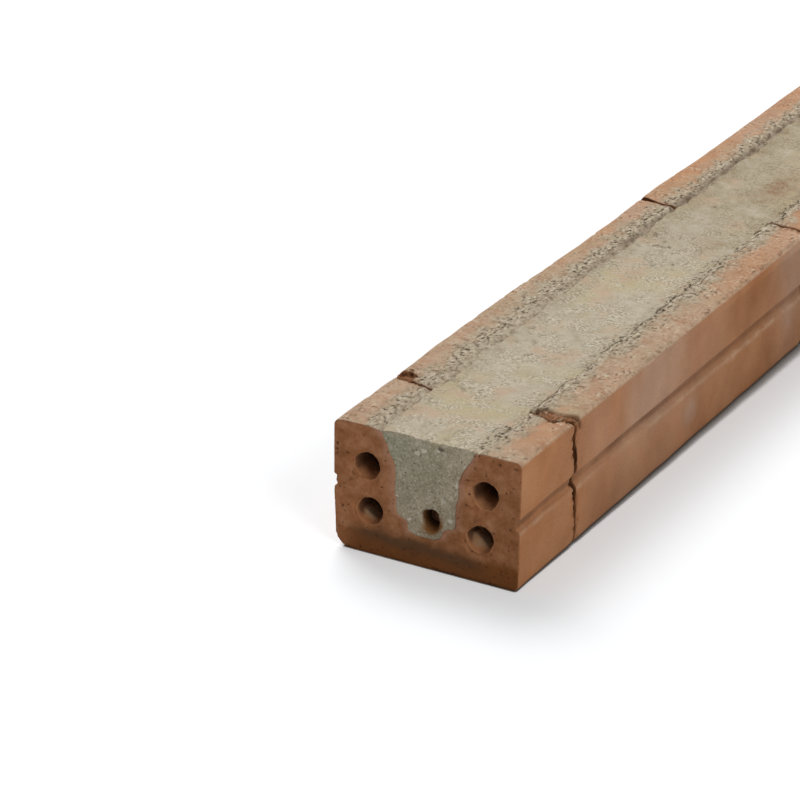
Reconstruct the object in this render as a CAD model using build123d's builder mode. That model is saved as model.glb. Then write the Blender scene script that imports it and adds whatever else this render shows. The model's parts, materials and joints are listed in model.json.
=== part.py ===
from build123d import *
import os

# Prestressed brick lintel: U-shaped clay shells laid end to end, their channel filled with
# concrete around one prestressing wire. X is the width, Y the length, Z up, with the origin
# in the middle of the underside. Lengths are in millimetres and angles in degrees.

# Lintel
lintel_length = 1000.0
section_width = 90.0
section_height = 60.0

# Clay shells, counted from the front end at -Y
first_shell_length = 51.0  # what the saw cut at the front end left of a shell
shell_length = 250.0
joint_gap = 2.0
shortest_cut = 40.0  # no shell at the back end is shorter than this
joint_leans = (5.0, 1.0)  # each joint's top leans to the front by this, used in turn
joint_turns = (2.5, -1.0)  # each joint's right side turns to the front by this, used in turn

# Outer edges of the clay section
rim_round = 3.0
bottom_left_round = 7.0
bottom_right_round = 3.0

# Key groove along each side
groove_height = 31.0  # its middle, above the underside
groove_mouth = 6.5
groove_floor = 4.0
groove_depth = 2.0

# Channel: a narrow trough on the clay floor, near upright walls and a flared mouth
floor_thickness = 14.0
trough_floor_width = 14.0
trough_width = 18.0
trough_depth = 5.5
shoulder_rise = 2.5  # from the trough's edge out to the foot of the walls
channel_foot_width = 28.5
channel_width = 31.0
channel_mouth = 46.0
flare_depth = 14.0
trough_round = 5.0
shoulder_round = 2.0
flare_round = 8.0

# Perforations, an upper and a lower one in each side wall
perforation_diameter = 12.0
perforation_pitch = 21.0  # from the lower up to the upper
lower_perforation_height = 20.5
upper_perforation_shift = 1.75  # from the middle of the wall towards the channel
lower_perforation_shift = 3.0

# Concrete and wire
concrete_drop = 1.5  # the concrete's top, below the rims of the clay
wire_diameter = 7.0
wire_rise = 9.0  # the wire's middle, above the trough's floor
wire_offset = 2.5  # and to the right of the trough's middle
pocket_clearance = 1.0  # around the wire's cut ends
pocket_depth = 10.0
wire_stub = 3.0  # how far each end of the wire stands into its pocket

half_length = lintel_length / 2
trough_edge_height = floor_thickness + trough_depth
shoulder_height = trough_edge_height + shoulder_rise
wire_height = floor_thickness + wire_rise
concrete_top = section_height - concrete_drop
upper_wall_middle = (section_width + channel_width) / 4
lower_wall_middle = (section_width + channel_foot_width) / 4
perforations = (
    (upper_wall_middle - upper_perforation_shift, lower_perforation_height + perforation_pitch),
    (lower_wall_middle - lower_perforation_shift, lower_perforation_height),
)

# Channel outline, shared by the clay around it and the concrete inside it
with BuildSketch(Plane.XZ) as channel:
    with BuildLine():
        right_side = [
            (trough_floor_width / 2, floor_thickness),
            (trough_width / 2, trough_edge_height),
            (channel_foot_width / 2, shoulder_height),
            (channel_width / 2, section_height - flare_depth),
            (channel_mouth / 2, section_height),
        ]
        left_side = [(-x, z) for x, z in reversed(right_side)]
        Polyline(*right_side, *left_side, close=True)
    make_face()
    # From the highest corners down, so that the lower ones keep their places in the groups
    rounds = [trough_round, shoulder_round, shoulder_round, flare_round]
    for level in reversed(range(len(rounds))):
        fillet(channel.vertices().group_by(Axis.Y)[level], rounds[level])

# Key grooves in the two sides
with BuildSketch(Plane.XZ) as grooves:
    with BuildLine():
        side = section_width / 2
        Polyline(
            (side, groove_height - groove_mouth / 2),
            (side, groove_height + groove_mouth / 2),
            (side - groove_depth, groove_height + groove_floor / 2),
            (side - groove_depth, groove_height - groove_floor / 2),
            close=True,
        )
    make_face()
    mirror(about=Plane.YZ)

# Section of the extruded clay
with BuildSketch(Plane.XZ) as clay_section:
    Rectangle(section_width, section_height, align=(Align.CENTER, Align.MIN))
    fillet(clay_section.vertices().group_by(Axis.Y)[-1], rim_round)
    fillet(clay_section.vertices().group_by(Axis.Y)[0].sort_by(Axis.X)[0], bottom_left_round)
    fillet(clay_section.vertices().group_by(Axis.Y)[0].sort_by(Axis.X)[-1], bottom_right_round)
    add(channel.sketch_local, mode=Mode.SUBTRACT)
    add(grooves.sketch_local, mode=Mode.SUBTRACT)
    for across, height in perforations:
        with Locations((-across, height), (across, height)):
            Circle(perforation_diameter / 2, mode=Mode.SUBTRACT)

# Section of the concrete, struck off below the rims
with BuildSketch(Plane.XZ) as concrete_section:
    add(channel.sketch_local)
    with Locations((0, concrete_top)):
        Rectangle(channel_mouth, concrete_drop, align=(Align.CENTER, Align.MIN), mode=Mode.SUBTRACT)

# Middle planes of the joints between shells, facing the back end
joint_spacing = shell_length + joint_gap
first_joint = first_shell_length + joint_gap / 2
joint_count = int((lintel_length - first_joint) // joint_spacing) + 1
joint_places = [first_joint + number * joint_spacing for number in range(joint_count)]
if lintel_length - joint_places[-1] < shortest_cut:
    joint_places[-1] -= shortest_cut
joints = []
for number, place in enumerate(joint_places):
    square = Plane((0, place - half_length, section_height / 2), x_dir=(1, 0, 0), z_dir=(0, 1, 0))
    lean = joint_leans[number % len(joint_leans)]
    turn = joint_turns[number % len(joint_turns)]
    joints.append(square.rotated((lean, 0, -turn)))

os.makedirs("parts", exist_ok=True)

# Clay shells: one extruded column of clay, cut at the joints
for number in range(len(joints) + 1):
    with BuildPart() as clay_shell:
        extrude(clay_section.sketch, amount=half_length, both=True)
        if number > 0:
            split(bisect_by=joints[number - 1].offset(joint_gap / 2), keep=Keep.TOP)
        if number < len(joints):
            split(bisect_by=joints[number].offset(-joint_gap / 2), keep=Keep.BOTTOM)
    clay_shell.part.label = f"clay_shell_{number + 1}"
    export_step(clay_shell.part, f"parts/{clay_shell.part.label}.step")

# Concrete cast in the channel, with the wire's duct and a pocket at each end
with BuildPart() as concrete_fill:
    extrude(concrete_section.sketch, amount=half_length, both=True)
    for end in (-1, 1):
        mouth = Plane(
            (wire_offset, end * half_length, wire_height), x_dir=(1, 0, 0), z_dir=(0, end, 0)
        )
        with Locations(mouth):
            CounterBoreHole(
                radius=wire_diameter / 2,
                counter_bore_radius=wire_diameter / 2 + pocket_clearance,
                counter_bore_depth=pocket_depth,
                depth=half_length,
            )
concrete_fill.part.label = "concrete_fill"
export_step(concrete_fill.part, "parts/concrete_fill.step")

# Prestressing wire, bonded in the concrete
with BuildPart() as prestressing_wire:
    with BuildSketch(Plane.XZ):
        with Locations((wire_offset, wire_height)):
            Circle(wire_diameter / 2)
    extrude(amount=half_length - pocket_depth + wire_stub, both=True)
prestressing_wire.part.label = "prestressing_wire"
export_step(prestressing_wire.part, "parts/prestressing_wire.step")
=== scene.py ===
import json
import math

import bmesh
import bpy
from mathutils import Matrix, Vector, noise


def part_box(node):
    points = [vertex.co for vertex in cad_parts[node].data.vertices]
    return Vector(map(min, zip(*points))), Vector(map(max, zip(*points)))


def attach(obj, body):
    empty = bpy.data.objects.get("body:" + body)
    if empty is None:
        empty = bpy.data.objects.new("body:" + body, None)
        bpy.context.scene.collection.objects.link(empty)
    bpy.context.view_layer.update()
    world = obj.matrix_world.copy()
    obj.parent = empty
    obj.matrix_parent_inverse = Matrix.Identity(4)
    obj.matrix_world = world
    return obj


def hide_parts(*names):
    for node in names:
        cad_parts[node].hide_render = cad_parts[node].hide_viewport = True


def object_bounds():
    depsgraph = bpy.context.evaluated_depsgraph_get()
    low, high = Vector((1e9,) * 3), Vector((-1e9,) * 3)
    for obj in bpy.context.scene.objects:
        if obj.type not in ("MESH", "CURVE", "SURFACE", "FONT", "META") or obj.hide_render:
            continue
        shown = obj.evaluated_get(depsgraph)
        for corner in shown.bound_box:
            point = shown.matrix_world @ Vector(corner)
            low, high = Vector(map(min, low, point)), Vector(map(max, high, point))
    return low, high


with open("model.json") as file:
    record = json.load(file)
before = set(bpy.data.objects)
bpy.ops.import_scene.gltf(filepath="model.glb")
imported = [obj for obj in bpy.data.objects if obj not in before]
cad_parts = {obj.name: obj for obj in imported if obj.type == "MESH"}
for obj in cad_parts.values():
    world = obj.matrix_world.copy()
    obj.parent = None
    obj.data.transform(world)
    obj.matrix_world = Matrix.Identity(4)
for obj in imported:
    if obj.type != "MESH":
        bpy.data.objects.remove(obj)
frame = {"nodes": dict(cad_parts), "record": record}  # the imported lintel: clay shells, their concrete and its wire
cadLow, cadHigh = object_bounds()
print("frame loaded:", len(frame["nodes"]), "nodes")

# Points are worked on in millimetres: x across, y along from the photographed end, z up
mm = 0.001
frontEnd = Vector((0.0, cadLow.y, 0.0))
halfWidth = cadHigh.x / mm
topHeight = cadHigh.z / mm
fullLength = (cadHigh.y - cadLow.y) / mm
boreMounts = [mount for mount in frame["record"]["mounts"] if mount["kind"] == "bore"]
bores = [(mount["pos_m"][0] / mm, mount["pos_m"][2] / mm) for mount in boreMounts]
boreRadius = boreMounts[0]["dims"]["r_mm"]
shellNodes = sorted(name for name in frame["nodes"] if name.startswith("clay_shell"))


def facePlane(node, direction):  # middle and facing of the end that looks this way along the lintel
    middle, facing, area = Vector(), Vector(), 0.0
    for face in frame["nodes"][node].data.polygons:
        if face.normal.y * direction > 0.9:
            middle += face.center * face.area
            facing += face.normal * face.area
            area += face.area
    return (middle / area - frontEnd) / mm, facing.normalized()


joints = []  # middle planes between neighbouring shells
for before, after in zip(shellNodes, shellNodes[1:]):
    backMiddle, backFacing = facePlane(before, 1)
    frontMiddle = facePlane(after, -1)[0]
    joints.append({"middle": (backMiddle + frontMiddle) / 2, "facing": backFacing})


def ramp(start, end, value):  # smooth step from 0 at start to 1 at end
    share = min(max((value - start) / (end - start), 0.0), 1.0)
    return share * share * (3 - 2 * share)


def bell(distance, reach):  # 1 at no distance, close to 0 at twice the reach
    return math.exp(-(distance / reach) ** 2)


def lumps(point, size, seed, octaves=2, stretch=1.0):  # -1 to 1, lumps about this many mm across
    place = Vector((point.x / size, point.y / (size * stretch), point.z / size))
    return noise.fractal(place + seed * Vector((7.3, 3.1, 5.7)), 0.8, 2.1, octaves)


def fromEnd(point):  # mm to the nearer end of the lintel
    return min(point.y, fullLength - point.y)


def sawnShare(point, normal):  # 1 on the two sawn ends, 0 elsewhere
    return ramp(0.5, 0.85, abs(normal.y)) * ramp(3.0, 1.5, fromEnd(point))


def applyModifiers(piece):
    graph = bpy.context.evaluated_depsgraph_get()
    piece.data = bpy.data.meshes.new_from_object(piece.evaluated_get(graph))
    piece.modifiers.clear()


def copyNode(nodeName, pieceName, voxel):  # a closed copy of a node on an even grid, ready to sculpt
    mesh = frame["nodes"][nodeName].data.copy()
    merged = bmesh.new()
    merged.from_mesh(mesh)
    bmesh.ops.remove_doubles(merged, verts=merged.verts, dist=0.01 * mm)
    merged.to_mesh(mesh)
    merged.free()
    mesh.materials.clear()
    piece = bpy.data.objects.new(pieceName, mesh)
    bpy.context.scene.collection.objects.link(piece)
    grid = piece.modifiers.new("evenGrid", "REMESH")
    grid.mode = "VOXEL"
    grid.voxel_size = voxel * mm
    applyModifiers(piece)
    return piece


def sculpt(piece, shape, markNames):  # shape(point, normal) gives the moved point and its marks
    mesh = piece.data
    points = [(vertex.co - frontEnd) / mm for vertex in mesh.vertices]
    normals = [vertex.normal.copy() for vertex in mesh.vertices]
    places = []
    marks = {name: [] for name in markNames}
    for point, normal in zip(points, normals):
        moved, found = shape(point, normal)
        places.extend(moved * mm + frontEnd)
        for name in markNames:
            marks[name].append(found.get(name, 0.0))
    mesh.vertices.foreach_set("co", places)
    for name in markNames:
        mesh.attributes.new(name, "FLOAT", "POINT").data.foreach_set("value", marks[name])
    mesh.update()


def thin(piece, mostTriangles):  # flat stretches lose their points first
    triangles = 2 * len(piece.data.polygons)
    if triangles > mostTriangles:
        fewer = piece.modifiers.new("thin", "DECIMATE")
        fewer.ratio = mostTriangles / triangles
        applyModifiers(piece)
    piece.data.shade_smooth()


def carve(point, chip):  # push a point out of a rough hollow; also says how far it went
    center, radii = Vector(chip["at"]), Vector(chip["size"])
    offset = point - center
    share = Vector((offset.x / radii.x, offset.y / radii.y, offset.z / radii.z)).length
    if share > 1.5 or share < 1e-6:
        return point, 0.0
    edge = 1 + chip["rough"] * lumps(point, 0.45 * min(radii), 31, 3)
    if share >= edge:
        return point, 0.0
    moved = center + offset * (edge / share)
    return moved, (moved - point).length


def finishPiece(piece, node, material):
    piece.data.materials.clear()
    piece.data.materials.append(material)
    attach(piece, "root")
    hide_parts(node)


# Channel between clay and concrete: height and half width of each corner of its section
channelSteps = ((14.0, 7.0), (19.5, 9.0), (22.0, 14.25), (46.0, 15.5), (60.0, 23.0))
mouthHalf = channelSteps[-1][1]


def channelEdge(height):
    for (lowHeight, lowWidth), (highHeight, highWidth) in zip(channelSteps, channelSteps[1:]):
        if height <= highHeight:
            share = max((height - lowHeight) / (highHeight - lowHeight), 0.0)
            return lowWidth + share * (highWidth - lowWidth)
    return mouthHalf


def channelShift(point):  # how the channel strays from its drawn section, for clay and concrete alike
    beyond = abs(abs(point.x) - channelEdge(point.z))
    near = ramp(5.5, 1.0, beyond) * ramp(6.0, 12.0, point.z)
    if near == 0.0:
        return Vector()
    across = 0.9 * lumps(point, 8.0, 1, 2, 3.0)
    up = 0.9 * lumps(point, 8.0, 2, 2, 3.0) * ramp(58.0, 50.0, point.z)
    return near * Vector((across, 0.0, up))


# Materials: a pattern's scale is 1 / its size in mm, and layers are laid over a colour by their shares


def hexColor(code):  # sRGB hex to linear
    channels = [int(code[start:start + 2], 16) / 255 for start in (1, 3, 5)]
    return [c / 12.92 if c <= 0.04045 else ((c + 0.055) / 1.055) ** 2.4 for c in channels] + [1.0]


def addNode(tree, kind, inputs=None, out=0, stops=None, **settings):  # sockets are linked, values are set
    node = tree.nodes.new("ShaderNode" + kind)
    for name, value in settings.items():
        setattr(node, name, value)
    for socket, value in (inputs or {}).items():
        if isinstance(value, bpy.types.NodeSocket):
            tree.links.new(value, node.inputs[socket])
        else:
            node.inputs[socket].default_value = hexColor(value) if isinstance(value, str) else value
    for index, (place, code) in enumerate(sorted((stops or {}).items())):
        elements = node.color_ramp.elements
        element = elements[index] if index < len(elements) else elements.new(place)
        element.position = place
        element.color = hexColor(code)
    return node.outputs[out] if node.outputs else node


def newMaterial(name):
    material = bpy.data.materials.new(name)
    material.use_nodes = True
    tree = material.node_tree
    coords = addNode(tree, "TexCoord", out="Object")
    perMm = addNode(tree, "Mapping", {"Vector": coords, "Scale": (1000, 1000, 1000)})
    return material, tree, tree.nodes["Principled BSDF"], perMm


cementPit = "#4d412f"  # pits in the paste, alike in the channel and on the rims
clayLook = {
    "body": {0.3: "#a86e45", 0.5: "#b57d54", 0.72: "#bc8860"},
    "haze": "#bb9880",
    "crust": {0.3: "#96866e", 0.5: "#ab9c85", 0.7: "#bcae99"},
    "grain": "#d2c6ae",
    # brown of painted shade, also laid darker towards the side's foot
    "shadeAndLowDark": "#6e4a31",
    # painted contact shade where the clay meets the floor
    "foot": "#34271c",
    "rim": {0.35: "#a9866a", 0.6: "#b79e85"},
    "film": "#ae9a7b",
    "cut": {0.3: "#885530", 0.5: "#9d6742", 0.7: "#ae7b57"},
    "edge": "#b3846a",
    "low": "#7c4a22",
    "core": "#60432b",
    "pit": "#472c19",
    "broken": {0.35: "#5d3822", 0.6: "#94633f"},
    "seam": "#5e3718",
    # wear and painted highlight on the long edges, painted highlight on the groove's lower lip
    "wearAndHighlight": "#cbab8d",
    # painted shade inside the perforations
    "bore": "#4c301d",
    "grooveShadeHeights": ((28.6, 30.2), (33.6, 34.6)),  # heights between which the painted shade in the groove comes and goes
    "footDirt": (1.8, 0.4),  # and the heights where the painted contact shade at the foot starts and is full
}
clayMarks = (
    "cement", "pitty", "film", "shadeAndLowDark", "sawn", "core", "low", "rim", "wearAndHighlight", "seam", "broken", "bore",
    "haze", "pit", "edge", "grooveShade",
)


def firedClay():
    # Extruded and fired brick clay: dry and matt, salmon brown under a chalky haze, darker where it was cut
    material, tree, shader, perMm = newMaterial("firedBrickClay")
    marks = {name: addNode(tree, "Attribute", out="Fac", attribute_name=name) for name in clayMarks}
    upright = addNode(tree, "Mapping", {"Vector": perMm, "Scale": (1, 0.8, 0.6)})
    lengthwise = addNode(tree, "Mapping", {"Vector": perMm, "Scale": (1, 0.6, 1)})
    mottle = addNode(tree, "TexNoise", {"Vector": perMm, "Scale": 1 / 38, "Detail": 4, "Roughness": 0.6})
    patch = addNode(tree, "TexNoise", {"Vector": upright, "Scale": 1 / 26, "Detail": 3, "Roughness": 0.6})
    stroke = addNode(tree, "TexNoise", {"Vector": upright, "Scale": 1 / 12, "Detail": 2})
    smear = addNode(tree, "TexNoise", {"Vector": perMm, "Scale": 1 / 6, "Detail": 4, "Roughness": 0.65})
    # grit of a third of a millimetre and grains of a half, both drawn coarser so that they show
    grit = addNode(tree, "TexNoise", {"Vector": perMm, "Scale": 1 / 1.1, "Detail": 3, "Roughness": 0.7})
    speck = addNode(tree, "TexNoise", {"Vector": lengthwise, "Scale": 1 / 1.4, "Detail": 2})
    height = addNode(tree, "SeparateXYZ", {0: perMm}, "Z")
    # painted shade in the groove: full between its inner heights, fading below and above
    (shadeStart, shadeFull), (shadeTop, shadeRoof) = clayLook["grooveShadeHeights"]
    grooveShadeRise = addNode(tree, "MapRange", {0: height, 1: shadeStart, 2: shadeFull, 4: marks["grooveShade"]})
    grooveShade = addNode(tree, "MapRange", {0: height, 1: shadeRoof, 2: shadeTop, 4: grooveShadeRise})
    # painted contact shade along the foot, uneven along the length
    footShare = addNode(tree, "MapRange", {0: stroke, 1: 0.38, 2: 0.62, 3: 0.05, 4: 0.75})
    footTop, footFull = clayLook["footDirt"]
    foot = addNode(tree, "MapRange", {0: height, 1: footTop, 2: footFull, 4: footShare})
    cut = addNode(tree, "ValToRGB", {0: smear}, stops=clayLook["cut"])
    for share, above in (
        (addNode(tree, "MapRange", {0: smear, 1: 0.1, 2: 0.7, 4: marks["edge"]}), clayLook["edge"]),
        (marks["low"], clayLook["low"]),
        (marks["core"], clayLook["core"]),
    ):
        cut = addNode(tree, "Mix", {0: share, 6: cut, 7: above}, 2, data_type="RGBA")
    color = addNode(tree, "ValToRGB", {0: mottle}, stops=clayLook["body"])
    for share, above in (
        (addNode(tree, "MapRange", {0: patch, 1: 0.15, 2: 0.56, 4: marks["haze"]}), clayLook["haze"]),
        # painted shade on the far stretch, and darker towards the foot
        (marks["shadeAndLowDark"], clayLook["shadeAndLowDark"]),
        # painted shade in the groove
        (grooveShade, clayLook["shadeAndLowDark"]),
        (marks["rim"], addNode(tree, "ValToRGB", {0: smear}, stops=clayLook["rim"])),
        (addNode(tree, "MapRange", {0: smear, 1: 0.3, 2: 0.7, 4: marks["film"]}), clayLook["film"]),
        (marks["sawn"], cut),
        # wear and painted highlight
        (addNode(tree, "MapRange", {0: smear, 1: 0.25, 2: 0.7, 4: marks["wearAndHighlight"]}), clayLook["wearAndHighlight"]),
        (marks["broken"], addNode(tree, "ValToRGB", {0: grit}, stops=clayLook["broken"])),
        # painted shade inside the perforations
        (marks["bore"], clayLook["bore"]),
    ):
        color = addNode(tree, "Mix", {0: share, 6: color, 7: above}, 2, data_type="RGBA")
    for pattern, least, most in ((grit, 0.9, 1.08), (stroke, 0.96, 1.12)):
        tone = addNode(tree, "MapRange", {0: pattern, 1: 0.3, 2: 0.7, 3: least, 4: most})
        color = addNode(tree, "Mix", {0: 1.0, 6: color, 7: tone}, 2, data_type="RGBA", blend_type="MULTIPLY")
    holes = addNode(tree, "MapRange", {0: speck, 1: 0.45, 2: 0.36, 4: marks["pitty"]})
    for share, above in (
        (marks["cement"], addNode(tree, "ValToRGB", {0: smear}, stops=clayLook["crust"])),
        (addNode(tree, "MapRange", {0: speck, 1: 0.56, 2: 0.68, 4: marks["pitty"]}), clayLook["grain"]),
        (holes, cementPit),
        (marks["pit"], clayLook["pit"]),
        (marks["seam"], clayLook["seam"]),
        # painted contact shade at the foot
        (foot, clayLook["foot"]),
    ):
        color = addNode(tree, "Mix", {0: share, 6: color, 7: above}, 2, data_type="RGBA")
    rough = addNode(tree, "Math", {0: grit, 1: holes}, operation="SUBTRACT")
    relief = addNode(tree, "Bump", {"Height": rough, "Strength": 0.5, "Distance": 0.45 * mm})
    tree.links.new(color, shader.inputs["Base Color"])
    tree.links.new(relief, shader.inputs["Normal"])
    shader.inputs["Roughness"].default_value = 0.92
    shader.inputs["Specular IOR Level"].default_value = 0.25
    return material


concreteLook = {
    "struck": {0.3: "#a3967d", 0.5: "#b4a993", 0.7: "#c1b7a4"},
    "yellow": "#b7a884",
    "sand": {0.35: "#7b705d", 0.5: "#b5aa93", 0.68: "#ded5c2"},
    "pink": "#bca188",
    "cut": {0.3: "#93866e", 0.5: "#aa9c84", 0.7: "#bcad94"},
    "green": "#a19e85",
    "paleGrain": "#d9d0bd",
    "darkGrain": "#5f5646",
    "stone": {0.7: "#a1967f", 0.88: "#bcb29d", 0.97: "#d9d1bf"},
    "pore": "#3d352a",
    "rust": "#82562b",
    # painted shade deep in the wire's pocket
    "deep": "#452b16",
    # painted shade on the far stretch, and darker along the rims
    "farShadeAndMargin": "#8a7654",
}
concreteMarks = ("sawn", "hollow", "rust", "farShadeAndMargin", "deep", "pitty", "green")


def castConcrete():
    # Fine concrete: pale and sandy where the trowel struck it off, stones and air holes where it was sawn
    material, tree, shader, perMm = newMaterial("castConcrete")
    marks = {name: addNode(tree, "Attribute", out="Fac", attribute_name=name) for name in concreteMarks}
    lengthwise = addNode(tree, "Mapping", {"Vector": perMm, "Scale": (1, 0.6, 1)})
    tint = addNode(tree, "TexNoise", {"Vector": perMm, "Scale": 1 / 44, "Detail": 2})
    blush = addNode(tree, "TexNoise", {"Vector": perMm, "Scale": 1 / 21, "Detail": 3})
    cluster = addNode(tree, "TexNoise", {"Vector": perMm, "Scale": 1 / 12, "Detail": 4, "Roughness": 0.6})
    smear = addNode(tree, "TexNoise", {"Vector": perMm, "Scale": 1 / 7, "Detail": 4, "Roughness": 0.65})
    # sand of half a millimetre, drawn coarser so that it shows
    sand = addNode(tree, "TexNoise", {"Vector": perMm, "Scale": 1 / 1.3, "Detail": 3, "Roughness": 0.75})
    speck = addNode(tree, "TexNoise", {"Vector": lengthwise, "Scale": 1 / 1.4, "Detail": 2})
    # sawn face: stones of 2 to 4 mm in a paler or darker paste, with air holes of about 1 mm
    bent = addNode(tree, "TexNoise", {"Vector": perMm, "Scale": 1 / 2.5}, "Color")
    warped = addNode(tree, "VectorMath", {0: bent, 1: (2.2, 2.2, 2.2), 2: perMm}, operation="MULTIPLY_ADD")
    stones = {"Vector": warped, "Scale": 1 / 3.3}
    stoneReach = addNode(tree, "TexVoronoi", stones, "Distance")
    stonePick = addNode(tree, "SeparateColor", {0: addNode(tree, "TexVoronoi", stones, "Color")})
    stoneShown = addNode(tree, "MapRange", {0: stonePick, 1: 0.7, 2: 0.9, 4: 0.9})
    poreReach = addNode(tree, "TexVoronoi", {"Vector": perMm, "Scale": 1 / 2.3}, "Distance")
    poreShown = addNode(tree, "MapRange", {0: cluster, 1: 0.35, 2: 0.6, 4: 0.9})
    grain = addNode(tree, "TexNoise", {"Vector": perMm, "Scale": 1 / 0.9, "Detail": 2})
    cut = addNode(tree, "ValToRGB", {0: cluster}, stops=concreteLook["cut"])
    for share, above in (
        (marks["green"], concreteLook["green"]),
        (addNode(tree, "MapRange", {0: grain, 1: 0.57, 2: 0.68, 4: 0.5}), concreteLook["paleGrain"]),
        (addNode(tree, "MapRange", {0: grain, 1: 0.42, 2: 0.31, 4: 0.55}), concreteLook["darkGrain"]),
        (
            addNode(tree, "MapRange", {0: stoneReach, 1: 0.42, 2: 0.34, 4: stoneShown}),
            addNode(tree, "ValToRGB", {0: stonePick}, stops=concreteLook["stone"]),
        ),
        (addNode(tree, "MapRange", {0: poreReach, 1: 0.2, 2: 0.13, 4: poreShown}), concreteLook["pore"]),
    ):
        cut = addNode(tree, "Mix", {0: share, 6: cut, 7: above}, 2, data_type="RGBA")
    sandShare = addNode(tree, "MapRange", {0: cluster, 1: 0.43, 2: 0.58, 3: 0.12, 4: 0.85})
    holes = addNode(tree, "MapRange", {0: speck, 1: 0.45, 2: 0.36, 4: marks["pitty"]})
    color = addNode(tree, "ValToRGB", {0: smear}, stops=concreteLook["struck"])
    for share, above in (
        (addNode(tree, "MapRange", {0: tint, 1: 0.5, 2: 0.64, 4: 0.85}), concreteLook["yellow"]),
        (addNode(tree, "MapRange", {0: blush, 1: 0.52, 2: 0.64, 4: 0.85}), concreteLook["pink"]),
        (sandShare, addNode(tree, "ValToRGB", {0: sand}, stops=concreteLook["sand"])),
        # painted shade on the far stretch, and darker along the rims
        (addNode(tree, "MapRange", {0: cluster, 1: 0.3, 2: 0.6, 4: marks["farShadeAndMargin"]}), concreteLook["farShadeAndMargin"]),
        (holes, cementPit),
        (marks["sawn"], cut),
        (marks["rust"], concreteLook["rust"]),
        (marks["hollow"], concreteLook["pore"]),
        # painted shade deep in the wire's pocket
        (marks["deep"], concreteLook["deep"]),
    ):
        color = addNode(tree, "Mix", {0: share, 6: color, 7: above}, 2, data_type="RGBA")
    grains = addNode(tree, "MapRange", {0: sand, 4: sandShare})
    height = addNode(tree, "Math", {0: grains, 1: holes}, operation="SUBTRACT")
    relief = addNode(tree, "Bump", {"Height": height, "Strength": 0.6, "Distance": 0.5 * mm})
    tree.links.new(color, shader.inputs["Base Color"])
    tree.links.new(relief, shader.inputs["Normal"])
    shader.inputs["Roughness"].default_value = 0.9
    shader.inputs["Specular IOR Level"].default_value = 0.3
    return material


wireLook = {"rust": {0.35: "#3c2414", 0.55: "#6f4222", 0.75: "#92602f"}}


def rustedSteel():
    # Drawn steel wire left bare: brown rust, uneven and dull
    material, tree, shader, perMm = newMaterial("rustedSteelWire")
    bloom = addNode(tree, "TexNoise", {"Vector": perMm, "Scale": 1 / 1.8, "Detail": 4, "Roughness": 0.7})
    color = addNode(tree, "ValToRGB", {0: bloom}, stops=wireLook["rust"])
    relief = addNode(tree, "Bump", {"Height": bloom, "Strength": 0.6, "Distance": 0.3 * mm})
    tree.links.new(color, shader.inputs["Base Color"])
    tree.links.new(relief, shader.inputs["Normal"])
    shader.inputs["Roughness"].default_value = 0.85
    shader.inputs["Metallic"].default_value = 0.2
    return material


# Clay shells

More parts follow.
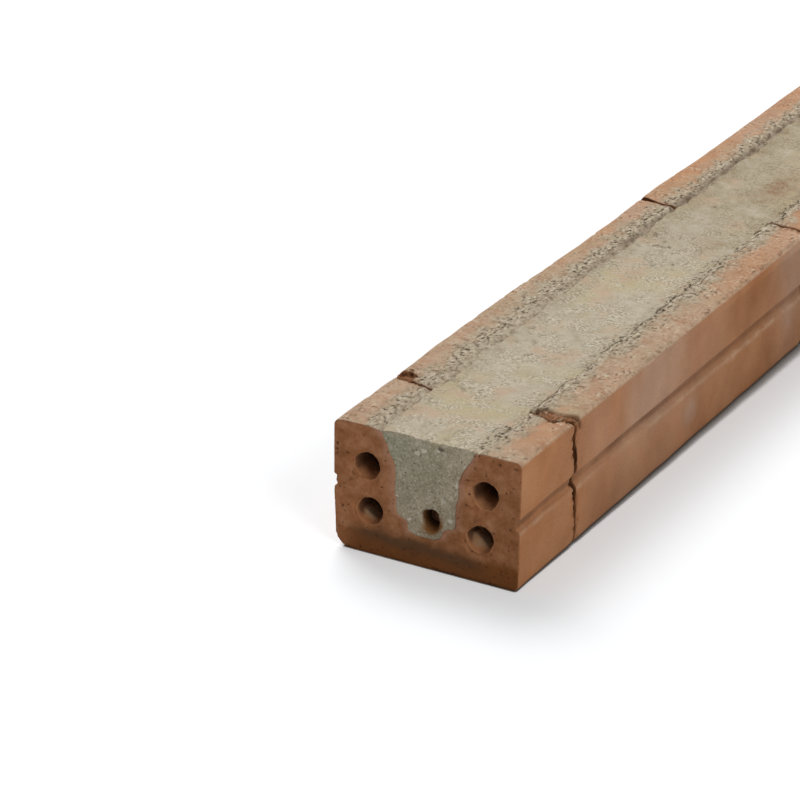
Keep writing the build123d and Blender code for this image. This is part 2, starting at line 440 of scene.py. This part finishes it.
shells = {
    "voxel": (0.65, 0.85, 1.0, 1.2, 1.2),  # grid of each shell, in mm
    "mostTriangles": (175000, 190000, 165000, 120000, 100000),
    "cementReach": {-1: (8.0, 11.5, 9.0, 9.0, 9.0), 1: (8.0, 7.0, 7.0, 7.0, 7.0)},  # over each rim
    "rimGrey": {-1: ((15, 45), (150, 105)), 1: ((4, 13), (145, 95))},  # greyed stretches: along and reach
    "jointBends": (  # how each joint strays along the lintel: across, up, shift
        (
            (-27, 60, -2.5), (20, 60, 2.5), (37, 60, -3.0),
            (45, 58, 3.0), (45, 41, 2.3), (45, 31, 1.5), (45, 20, 1.6), (45, 9, 2.0),
        ),
        ((-42, 60, 1.3), (23, 60, 4.0), (36, 60, 2.0), (45, 45, 2.0), (45, 25, 2.0), (45, 8, 2.0)),
        ((-38, 60, 1.6), (-24, 60, -1.8), (30, 60, -2.0), (45, 40, 1.2)),
        ((-42, 60, -1.5), (28, 60, 2.2), (45, 25, -1.2)),
    ),
    "jointGapes": (  # where each joint opens or closes: across, up, change of its half width
        ((45, 43, 1.25), (45, 26, 0.9), (45, 5, -0.7), (-30, 60, -0.2), (36, 60, 0.4)),
        ((-44, 60, 1.6), (-31, 60, -1.1), (32, 60, -0.6), (45, 50, -0.4), (45, 20, -0.5)),
        ((45, 45, 0.3), (30, 60, -0.4)),
        ((-30, 60, 0.3), (45, 15, -0.3)),
    ),
    "chips": {1: ({"at": (-42, 51, 63.0), "size": (11.0, 9.5, 6.0), "rough": 0.3},)},
    "flakes": {1: ((35.0, 50.5, 10.0, 5.5),)},  # crumbled scars: across, along, reach across and along
    "haze": (  # chalky stretches: along, reach, strength
        (128, 60, 0.75), (287, 18, 0.9), (430, 60, 0.6), (640, 70, 0.6), (900, 80, 0.7),
    ),
    "scuffs": ((172, 17, 8, 8), (286, 24, 9, 12)),  # pale ones on the right side: along, up and reaches
    "crumbs": {-1: 0.4, 1: 2.6},  # how high they lie in the lower perforation of each side
    "mouthTear": 1.5,  # how far the perforations' mouths are torn to the lower left
    "leftLean": 1.5,  # the left side leans in by this at its foot
    "leftSwell": ((130, 75, 0.9), (322, 40, 0.7)),  # and stands out above: along, reach, how far
    "grooveHeight": 31.0,
    "grooveClog": 0.9,  # on the left
    "lipHeight": 27.2,  # the groove's lower lip, lightened by a painted highlight
    "wave": 0.3,  # unevenness of the extruded faces
    "ripple": 0.08,
    "crustRise": 0.15,
    "crustLumps": 0.2,
    "crustPits": 0.45,
    "rimDrop": 0.9,  # next to the channel
    "gutterDepth": 0.6,
    "edgeDents": 0.8,
    "strayReach": (26.0, 5.0),  # from a joint: where its straying starts and where it is full
    "bendReach": 7.0,
    "gapeReach": 9.0,
    "crumbling": 0.7,
    "boreRough": 0.3,
    "mouthDish": 0.9,
    "endPits": 0.5,
    "scarDepth": (1.0, 1.3),  # its middle and its crumbs
    "riftDepth": 1.1,
}


def clayShape(number):
    ownJoints = [index for index in (number - 1, number) if 0 <= index < len(joints)]

    def shape(point, normal):
        marks = {}
        side = -1 if point.x < 0 else 1
        outward, depth = abs(point.x), fromEnd(point)
        beyond = outward - mouthHalf
        moved = point + channelShift(point)
        sawn = sawnShare(point, normal)
        rim = ramp(0.35, 0.8, normal.z) * ramp(53.0, 57.0, point.z)
        flank = ramp(0.5, 0.9, abs(normal.x)) * ramp(40.0, 42.0, outward)
        upper = ramp(54.5, 56.5, point.z) * (1.0 - sawn)
        cement = broken = seam = 0.0
        if rim + flank > 0.0:  # extruded faces are never quite flat
            wave = shells["wave"] * lumps(point, 30.0, 5) + shells["ripple"] * lumps(point, 5.0, 6, 2, 5.0)
            moved += normal * (rim + flank) * wave
        if upper > 0.0:  # cement smeared over the rim next to the channel, its inner edge lost under it
            reach = shells["cementReach"][side][number] + 3.0 * lumps(point, 16.0, 7 + side)
            cement = upper * ramp(reach + 6.0, reach - 4.0, beyond + 5.0 * lumps(point, 5.0, 9, 3, 1.6))
            crowd = ramp(11.0, 2.0, beyond) if side > 0 else bell(beyond - 7.0, 4.5)
            holes = cement * ramp(0.35, 0.65, lumps(point, 2.2, 11, 2, 1.6) + 0.2 * crowd)
            crust = shells["crustRise"] + shells["crustLumps"] * lumps(point, 3.2, 12)
            moved.z += cement * crust - shells["crustPits"] * holes * rim
            moved.z -= shells["rimDrop"] * ramp(4.5, 0.0, beyond)
            # beyond 150 mm the left rim sinks into a gutter, also painted dark there as shade
            gutter = bell(beyond - 2.0, 1.7) * ramp(150.0, 300.0, point.y) * ramp(0.0, -5.0, point.x)
            moved.z -= shells["gutterDepth"] * gutter
            ledge = ramp(2.5, 0.8, abs(beyond - 18.0)) * ramp(0.0, 0.5, lumps(point, 12.0, 13))
            spread = 0.1 if side < 0 else 0.18 * ramp(50.0, 60.0, point.y)
            scatter = rim * (spread + 0.6 * ramp(-0.1, 0.6, lumps(point, 11.0, 41, 3)))
            marks["pitty"] = max(cement * (0.25 + 0.75 * crowd), 0.5 * ledge * rim, scatter)
            # dark in pits, and painted shade in the gutter
            marks["pit"] = max(0.45 * holes, gutter * (0.55 + 0.5 * lumps(point, 6.0, 44, 2, 2.0)))
            film = 0.6 * ramp(0.0, 0.7, lumps(point, 18.0, 19, 3, 1.5)) * ramp(48.0, 56.0, point.y)
            marks["film"] = rim * max(film, ramp(85.0, 60.0, point.y) * ramp(0.0, 30.0, point.x * number))
        if outward > 39.0 and point.z > 53.0:  # long edges dented, and lightened as wear and painted highlight
            wearAndHighlight = ramp(0.4, 0.62, min(abs(normal.x), abs(normal.z)))
            moved -= normal * wearAndHighlight * shells["edgeDents"] * ramp(0.2, 0.6, lumps(point, 7.0, 14, 2, 1.5))
            marks["wearAndHighlight"] = wearAndHighlight * (1.0 - sawn)
        for index in ownJoints:  # a shell's whole end strays, and its face opens and closes the joint
            away = abs((point - joints[index]["middle"]).dot(joints[index]["facing"]))
            near = ramp(*shells["strayReach"], away)
            if near == 0.0:
                continue
            section = Vector((point.x, 40.0 * index, point.z))
            stray = 0.3 * lumps(section, 9.0, 15)
            for across, height, shift in shells["jointBends"][index]:
                stray += shift * bell(math.hypot(point.x - across, point.z - height), shells["bendReach"])
            moved.y += near * stray
            face = ramp(0.4, 0.8, abs(normal.y)) * ramp(4.0, 2.5, away) * (1.0 - sawn)
            gape = 0.3 * lumps(section, 8.0, 16) - 0.4
            for across, height, change in shells["jointGapes"][index]:
                gape += change * bell(math.hypot(point.x - across, point.z - height), shells["gapeReach"])
            moved.y -= face * math.copysign(1.0, normal.y) * max(gape, -0.97)
            moved += normal * face * 0.25 * lumps(point, 2.2, 17)
            crumbled = ramp(4.5, 1.5, away) * (rim + flank) * ramp(0.0, 0.5, lumps(point, 3.0, 20))
            moved -= normal * shells["crumbling"] * crumbled
            seam = max(seam, face, 0.35 * crumbled)
            broken = max(broken, 0.5 * crumbled)
        nearest, across, height = min((math.hypot(point.x - x, point.z - z), x, z) for x, z in bores)
        out = Vector((point.x - across, 0.0, point.z - height)) / nearest
        lower = ramp(-0.2, 0.8, -0.6 * out.x - 0.8 * out.z)
        if nearest < 10.5 and point.y < 9.0:
            tear = shells["mouthTear"] * (0.8 + 0.4 * lumps(point, 4.0, 43))
            moved += out * tear * lower * ramp(9.0, 0.0, point.y) * ramp(10.5, 6.3, nearest)
        if nearest < 7.0 and abs(normal.y) < 0.7:  # walls of the perforations
            moved += normal * shells["boreRough"] * lumps(point, 3.5, 29)
            if height < 30.0 and point.y < 25.0:
                heap = shells["crumbs"][side] - boreRadius
                heap -= 8.0 * ramp(5.0, 1.0, point.y) + 8.0 * ramp(12.0, 24.0, point.y)
                heap += 0.6 * lumps(point, 2.5, 34, 3) - 0.75 * (point.x - across)
                roof = math.sqrt(max(boreRadius ** 2 - (point.x - across) ** 2, 0.0))
                rise = max(height + min(heap, roof) - moved.z, 0.0)
                moved.z += rise
                marks["film"] = 0.95 * ramp(0.0, 1.5, rise)
            wall = ramp(-0.85, -0.35, out.z)  # painted shade: walls and roof darker than the floor
            # painted shade, darker deeper in and on the walls and roof
            marks["bore"] = max(ramp(4.0, 22.0, depth), 0.8 * wall * ramp(0.3, 3.5, depth))
        if sawn > 0.0:  # torn lips round the perforations, small pits, and the dark core of the firing
            lip = 8.2 + 1.6 * lower
            dish = ramp(lip, 6.0, nearest) * (0.6 + 0.5 * lumps(point, 5.0, 18))
            fromEdge = min(halfWidth - outward, point.z, topHeight - point.z)
            torn = sawn * ramp(0.6, 0.8, lumps(point, 1.7, 30, 2) + 0.14 * ramp(9.0, 1.0, fromEdge))
            moved.y -= math.copysign(shells["mouthDish"] * sawn * dish + shells["endPits"] * torn, normal.y)
            marks["pit"] = max(marks.get("pit", 0.0), 0.8 * torn)
            fromChannel = abs(outward - channelEdge(point.z))
            marks["edge"] = sawn * ramp(4.5, 0.5, fromChannel) * ramp(13.0, 16.0, point.z)
            fringe = 2.0 * lumps(point, 9.0, 35, 3)
            reachIn = ramp(-40.0, -26.0, point.x) * ramp(34.0, 18.0, point.x)
            marks["core"] = sawn * 0.85 * reachIn * bell(point.z - 8.5 + 0.04 * point.x - fringe, 3.6)
            marks["low"] = sawn * ramp(13.0, 8.0, point.z - fringe) * ramp(-50.0, -32.0, point.x)
        for across, along, reachAcross, reachAlong in shells["flakes"].get(number, ()):
            share = math.hypot((point.x - across) / reachAcross, (point.y - along) / reachAlong)
            if upper > 0.0 and share < 1.4:
                scar = ramp(1.15, 0.9, share + 0.2 * lumps(point, 3.0, 32))
                rift = upper * ramp(0.17, 0.03, abs(share - 1.0)) * ramp(-1.0, 1.0, point.y - along)
                crumbs = lumps(Vector((0.4 * point.x, point.y, point.z)), 1.9, 33)
                deep, rough = shells["scarDepth"]
                moved.z -= upper * scar * (deep + rough * crumbs) + shells["riftDepth"] * rift
                broken = max(broken, scar)
                seam = max(seam, 0.8 * rift, 0.7 * scar * ramp(0.1, 0.5, crumbs))
        for chip in shells["chips"].get(number, ()):
            moved, carved = carve(moved, chip)
            broken = max(broken, ramp(0.1, 0.5, carved))
        if point.z < 3.0:
            moved.z = max(moved.z, 0.0)
        if point.x < -30.0:  # the left side leans in below and swells above, and its groove is half clogged
            moved.x += shells["leftLean"] * ramp(34.0, 0.0, point.z) * ramp(-30.0, -43.0, point.x)
            clog = shells["grooveClog"] * bell(point.z - shells["grooveHeight"], 2.2)
            moved.x -= clog * ramp(-41.0, -42.0, point.x)
            if number > 0:
                for along, reach, amount in shells["leftSwell"]:
                    swell = amount * bell(point.y - along, reach) * ramp(-30.0, -43.0, point.x)
                    moved += swell * ramp(32.0, 52.0, point.z) * Vector((-1.0, 0.0, 0.5))
        haze = sum(strength * bell(point.y - along, reach) for along, reach, strength in shells["haze"])
        haze = min(haze, 1.0) * (0.4 + 0.6 * ramp(18.0, 38.0, point.z))
        for along, up, reachAlong, reachUp in shells["scuffs"]:
            scuff = bell(point.y - along, reachAlong) * bell(point.z - up, reachUp)
            haze = max(haze, scuff * ramp(40.0, 43.0, point.x))
        marks["haze"] = haze
        if outward > 42.0 and point.z < 55.0:  # darker towards the foot, painted shade on the far stretch and in the groove, painted highlight on the groove's lower lip
            blot = 0.55 + 0.25 * lumps(point, 20.0, 36, 3)
            low = 0.4 * ramp(29.0, 10.0, point.z) * ramp(55.0, 70.0, point.y)
            # painted shade: the side darkens away from the sawn end
            far = 0.5 * ramp(120.0, 300.0, point.y)
            marks["grooveShade"] = (1.0 - sawn) * (0.6 + 0.3 * lumps(point, 9.0, 37, 2, 2.0))
            marks["shadeAndLowDark"] = (1.0 - sawn) * blot * max(low, far)
            # painted highlight along the groove's lower lip
            lipPatches = ramp(-0.6, 0.2, lumps(point, 8.0, 42, 2, 2.0))
            lipHighlight = bell(point.z - shells["lipHeight"], 1.2) * lipPatches
            marks["wearAndHighlight"] = 0.8 * (1.0 - sawn) * lipHighlight
        marks["cement"] = cement * (1.0 - 0.9 * broken)
        grey = sum(bell(point.y - along, reach) for along, reach in shells["rimGrey"][side])
        marks["sawn"], marks["rim"] = sawn, rim * min(0.3 + 0.7 * grey, 0.95)
        marks["seam"], marks["broken"] = seam, broken
        return moved, marks

    return shape


clay = firedClay()
for number, node in enumerate(shellNodes):
    coarser = 2.0 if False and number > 2 else 1.0
    shell = copyNode(node, "clayShell" + str(number + 1), shells["voxel"][number] * coarser)
    sculpt(shell, clayShape(number), clayMarks)
    thin(shell, shells["mostTriangles"][number])
    finishPiece(shell, node, clay)
    print("clay shell", number + 1, "sculpted:", len(shell.data.polygons), "faces")

# Concrete

fill = {
    "voxel": 0.9,
    "mostTriangles": 190000,
    "frontLift": 0.9,  # the concrete stands nearly level with the rims at the sawn end
    "sag": 0.3,  # and lower beyond it
    "climb": 1.1,  # up to the rims
    "wave": 0.4,  # the trowel's unevenness
    "ripple": 0.15,
    "pitDepth": 0.5,
    "marginRough": 0.4,
    "overrun": (1.6, 1.5),  # of the paste over the clay, and how it varies
    "tight": 0.7,
    "stains": ((7, 356, 8, 20, 1.0), (10, 269, 6, 12, 0.5), (-6, 215, 4, 9, 0.3)),  # place, reach, strength
    "pits": (
        {"at": (6.7, -0.6, 57.6), "size": (2.4, 1.6, 1.0), "rough": 0.25},
        {"at": (-4.7, -0.4, 21.6), "size": (0.9, 1.4, 0.9), "rough": 0.2},
    ),
}
wireLow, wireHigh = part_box("prestressing_wire")
wireMiddle = (wireLow + wireHigh) / 2 / mm
wireRadius = (wireHigh.x - wireLow.x) / 2 / mm


def concreteShape(point, normal):
    marks = {}
    moved = point + channelShift(point)
    depth = fromEnd(point)
    sawn = sawnShare(point, normal)
    top = ramp(0.4, 0.8, normal.z) * ramp(54.0, 57.0, point.z)
    rust = hollow = 0.0
    if top > 0.0:
        level = fill["frontLift"] * ramp(40.0, 15.0, depth) - fill["sag"] * ramp(35.0, 70.0, depth)
        wave = fill["wave"] * lumps(point, 34.0, 21, 2, 1.6) + fill["ripple"] * lumps(point, 7.0, 22, 3, 1.6)
        pitting = ramp(0.3, 0.65, lumps(point, 2.4, 23, 2, 1.4)) * ramp(0.0, 0.6, lumps(point, 22.0, 24))
        margin = ramp(15.5, 22.0, abs(point.x))
        climb = fill["climb"] * margin * ramp(12.0, 40.0, depth)
        rough = fill["marginRough"] * margin * lumps(point, 3.0, 25, 2, 1.6)
        moved.z += top * (level + wave + climb - fill["pitDepth"] * pitting - rough)
        hollow = top * 0.3 * pitting
        pitted = margin * ramp(-0.3, 0.4, lumps(point, 9.0, 38, 2, 2.5)) * ramp(-5.0, 5.0, point.x)
        marks["pitty"] = top * min(pitted + 0.3 * pitting + 0.15 * margin, 1.0)
        # painted shade: the top darkens away from the sawn end; it is also darker along the rims
        marks["farShadeAndMargin"] = top * (0.45 * ramp(200.0, 340.0, point.y) + 0.3 * margin)
        for across, along, reachAcross, reachAlong, strength in fill["stains"]:
            spread = bell(point.x - across, reachAcross) * bell(point.y - along, reachAlong)
            rust = max(rust, top * strength * spread * (0.5 + 0.6 * lumps(point, 5.0, 26, 3, 0.6)))
    moved.y += 0.15 * sawn * math.copysign(1.0, -normal.y)
    brim = ramp(50.0, 57.0, point.z) * ramp(17.5, 21.5, abs(point.x))
    if brim > 0.0:  # the paste runs out over the clay, here more and there less
        least, varied = fill["overrun"]
        moved.x += math.copysign(brim * (least + varied * lumps(point, 6.0, 40, 3, 1.8)), point.x)
    if depth < 2.5 and abs(point.x) > 6.0:  # and is tight against it at the sawn ends
        moved += fill["tight"] * ramp(2.5, 1.0, depth) * (1.0 - brim) * Vector((normal.x, 0.0, normal.z))
    marks["green"] = sawn * 0.7 * ramp(44.0, 66.0, point.z - 0.9 * point.x + 6.0 * lumps(point, 9.0, 39))
    around = Vector((point.x - wireMiddle.x, 0.0, point.z - wireMiddle.z))
    if depth < 12.0 and around.length < wireRadius + 4.0:  # the torn pocket round the wire's end, painted in shade deeper in
        wall = ramp(wireRadius + 3.5, wireRadius + 1.2, around.length)
        out = around.normalized()
        tear = 0.3 + 0.6 * abs(out.z) + 0.6 * lumps(point, 3.5, 27)
        moved += out * wall * ramp(6.0, 0.0, depth) * tear
        rust = max(rust, wall * ramp(0.5, -0.7, out.z - 0.6 * out.x), wall * ramp(0.5, 3.0, depth))
        marks["deep"] = wall * ramp(2.0, 8.0, depth)
    for pit in fill["pits"]:
        moved, carved = carve(moved, pit)
        hollow = max(hollow, 0.8 * ramp(0.1, 0.7, carved))
    marks["sawn"], marks["rust"], marks["hollow"] = sawn, rust, hollow
    return moved, marks


core = copyNode("concrete_fill", "concreteFill", fill["voxel"])
sculpt(core, concreteShape, concreteMarks)
thin(core, fill["mostTriangles"])
finishPiece(core, "concrete_fill", castConcrete())
print("concrete sculpted:", len(core.data.polygons), "faces")

# Wire

wireForm = {"voxel": 0.6, "mostTriangles": 12000, "scale": 0.15}  # scale is the rust's relief, in mm


def wireShape(point, normal):
    return point + normal * wireForm["scale"] * lumps(point, 1.6, 28, 3), {}


wire = copyNode("prestressing_wire", "prestressingWire", wireForm["voxel"])
sculpt(wire, wireShape, ())
thin(wire, wireForm["mostTriangles"])
finishPiece(wire, "prestressing_wire", rustedSteel())
print("wire made:", len(wire.data.polygons), "faces")

# Floor, light and camera

studio = {
    "floorSize": 12.0,
    "floorGlow": 0.34,  # seen by the camera only, so that the floor is white away from the lintel
    "whiteFrom": (1.0, 3.0),  # metres from the middle: where the glow starts to grow and where it is full
    "contact": (1.0, 6.5),  # mm of painted contact shadow where the lintel stands on the floor, at the front and beyond
    "contactRun": (-0.49, -0.2),  # metres along, between which it widens
    "contactGlow": (0.66, 0.98),  # how clear the floor is where its glow starts and is full
    "paper": {0.5: "#72695f", 0.68: "#807870", 0.97: "#e2e5e8"},  # by how clear the floor is, the dark stops painting the contact shadow
    "skyStrength": 0.19,
    "lamps": (  # where, what they aim at, size and watts
        ((-1.2, 0.7, 2.1), (0.0, -0.4, 0.0), 1.65, 57.0),
        ((1.8, -1.25, 1.45), (0.0, -0.45, 0.03), 1.2, 21.0),
    ),
}


def makeFloor():
    board = bmesh.new()
    bmesh.ops.create_grid(board, x_segments=1, y_segments=1, size=studio["floorSize"] / 2)
    mesh = bpy.data.meshes.new("floor")
    board.to_mesh(mesh)
    board.free()
    floor = bpy.data.objects.new("floor", mesh)
    bpy.context.scene.collection.objects.link(floor)
    material = bpy.data.materials.new("whitePaper")
    material.use_nodes = True
    tree = material.node_tree
    tree.nodes.clear()
    around = addNode(tree, "TexCoord", out="Object")
    along = addNode(tree, "SeparateXYZ", {0: around}, "Y")
    narrow, wide = (width * mm for width in studio["contact"])
    front, beyond = studio["contactRun"]
    reach = addNode(tree, "MapRange", {0: along, 1: front, 2: beyond, 3: narrow, 4: wide})
    # occlusion paints the contact shadow into the floor's colour and dims its glow
    clear = addNode(tree, "AmbientOcclusion", {"Distance": reach}, "AO", samples=4)
    shade = addNode(tree, "ValToRGB", {0: clear}, stops=studio["paper"])
    paper = addNode(tree, "BsdfDiffuse", {"Color": shade})
    away = addNode(tree, "VectorMath", {0: around}, "Value", operation="LENGTH")
    near, far = studio["whiteFrom"]
    farGlow = addNode(tree, "MapRange", {0: away, 1: near, 2: far, 3: studio["floorGlow"], 4: 1.0})
    least, most = studio["contactGlow"]
    bright = addNode(tree, "MapRange", {0: clear, 1: least, 2: most, 4: farGlow})
    glow = addNode(tree, "Emission", {"Strength": bright})
    lit = addNode(tree, "AddShader", {0: paper, 1: glow})
    seen = addNode(tree, "LightPath", out="Is Camera Ray")
    addNode(tree, "OutputMaterial", {"Surface": addNode(tree, "MixShader", {0: seen, 1: paper, 2: lit})})
    mesh.materials.append(material)


def makeLight():
    world = bpy.data.worlds.new("studio")
    bpy.context.scene.world = world
    world.use_nodes = True
    tree = world.node_tree
    tree.nodes.clear()
    seen = addNode(tree, "LightPath", out="Is Camera Ray")
    for ray in ("Is Glossy Ray", "Is Transmission Ray"):
        kind = addNode(tree, "LightPath", out=ray)
        seen = addNode(tree, "Math", {0: seen, 1: kind}, operation="MAXIMUM")
    sky = addNode(tree, "Background", {"Color": "#ffffff", "Strength": studio["skyStrength"]})
    white = addNode(tree, "Background", {"Color": "#ffffff", "Strength": 1.0})
    addNode(tree, "OutputWorld", {"Surface": addNode(tree, "MixShader", {0: seen, 1: sky, 2: white})})
    for place, aim, size, watts in studio["lamps"]:
        lamp = bpy.data.lights.new("softbox", "AREA")
        lamp.shape = "SQUARE"
        lamp.size = size
        lamp.energy = watts
        softbox = bpy.data.objects.new("softbox", lamp)
        softbox.location = place
        softbox.rotation_euler = (Vector(aim) - softbox.location).to_track_quat("-Z", "Y").to_euler()
        bpy.context.scene.collection.objects.link(softbox)


photoView = {
    "azimuth": 28.52,  # degrees to the right of straight on
    "elevation": 24.494,
    "roll": 1.112,
    "lens": 153.6,
    "sensor": 36.0,
    "fromFoot": (-0.010306, 0.071736, 1.45985),  # from the sawn end's foot: right, up and back, in metres
}


def makeCamera():
    azimuth, elevation = math.radians(photoView["azimuth"]), math.radians(photoView["elevation"])
    roll = math.radians(photoView["roll"])
    back = Vector((
        math.sin(azimuth) * math.cos(elevation),
        -math.cos(azimuth) * math.cos(elevation),
        math.sin(elevation),
    ))
    level = Vector((math.cos(azimuth), math.sin(azimuth), 0.0))
    upright = back.cross(level)
    right = math.cos(roll) * level + math.sin(roll) * upright
    up = back.cross(right)
    turned = Matrix((right, up, back)).transposed()
    place = frontEnd + turned @ Vector(photoView["fromFoot"])
    camera = bpy.data.objects.new("photoCamera", bpy.data.cameras.new("photoCamera"))
    camera.data.lens = photoView["lens"]
    camera.data.sensor_width = photoView["sensor"]
    camera.data.sensor_fit = "HORIZONTAL"
    camera.matrix_world = Matrix.Translation(place) @ turned.to_4x4()
    bpy.context.scene.collection.objects.link(camera)
    bpy.context.scene.camera = camera


makeFloor()
makeLight()
makeCamera()
bpy.context.scene.view_settings.view_transform = "Standard"
print("floor, light and camera set")
